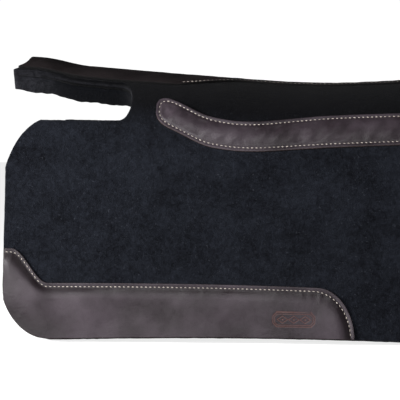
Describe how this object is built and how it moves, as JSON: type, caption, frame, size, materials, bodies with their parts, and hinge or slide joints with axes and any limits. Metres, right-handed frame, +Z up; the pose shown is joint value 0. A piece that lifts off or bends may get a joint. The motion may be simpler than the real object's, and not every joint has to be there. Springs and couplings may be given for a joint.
{
  "type": "western saddle pad",
  "caption": "Contoured western saddle pad of layered black wool felt with a wither tongue, open front notches and brown wear leathers.",
  "frame": {"origin": "centre of the footprint, on the surface that the bottom edges stand on", "axes": "+X towards the rear of the pad, with the horse's head at -X; +Y towards the horse's right side, the pad's plane of symmetry being Y = 0; +Z up"},
  "size_m": [0.798, 0.3128, 0.3612],
  "materials": {
    "top_felt": "matte pressed wool felt, black",
    "base_felt": "matte pressed wool felt, charcoal",
    "wear_leather": "smooth dark brown top-grain leather, satin",
    "spine_leather": "smooth black-brown leather, satin",
    "thread": "waxed cream nylon thread"
  },
  "bodies": {
    "crown": {"crown_top_felt": "top_felt", "crown_base_felt": "base_felt", "spine_leather": "spine_leather", "spine_stitching": "thread"},
    "left_side": {"left_top_felt": "top_felt", "left_base_felt": "base_felt", "left_upper_leather": "wear_leather", "left_lower_leather": "wear_leather", "left_upper_stitching": "thread", "left_lower_stitching": "thread"},
    "right_side": {"right_top_felt": "top_felt", "right_base_felt": "base_felt", "right_upper_leather": "wear_leather", "right_lower_leather": "wear_leather", "right_upper_stitching": "thread", "right_lower_stitching": "thread"}
  },
  "joints": [
    {"name": "left_flex", "type": "hinge", "parent": "crown", "child": "left_side", "pos_m": [0, -0.07725, 0.31734], "axis": [-1, 0, 0], "range_deg": [-10, 55], "stiffness_Nm_per_rad": 25},
    {"name": "right_flex", "type": "hinge", "parent": "crown", "child": "right_side", "pos_m": [0, 0.07725, 0.31734], "axis": [1, 0, 0], "range_deg": [-10, 55], "stiffness_Nm_per_rad": 25}
  ]
}
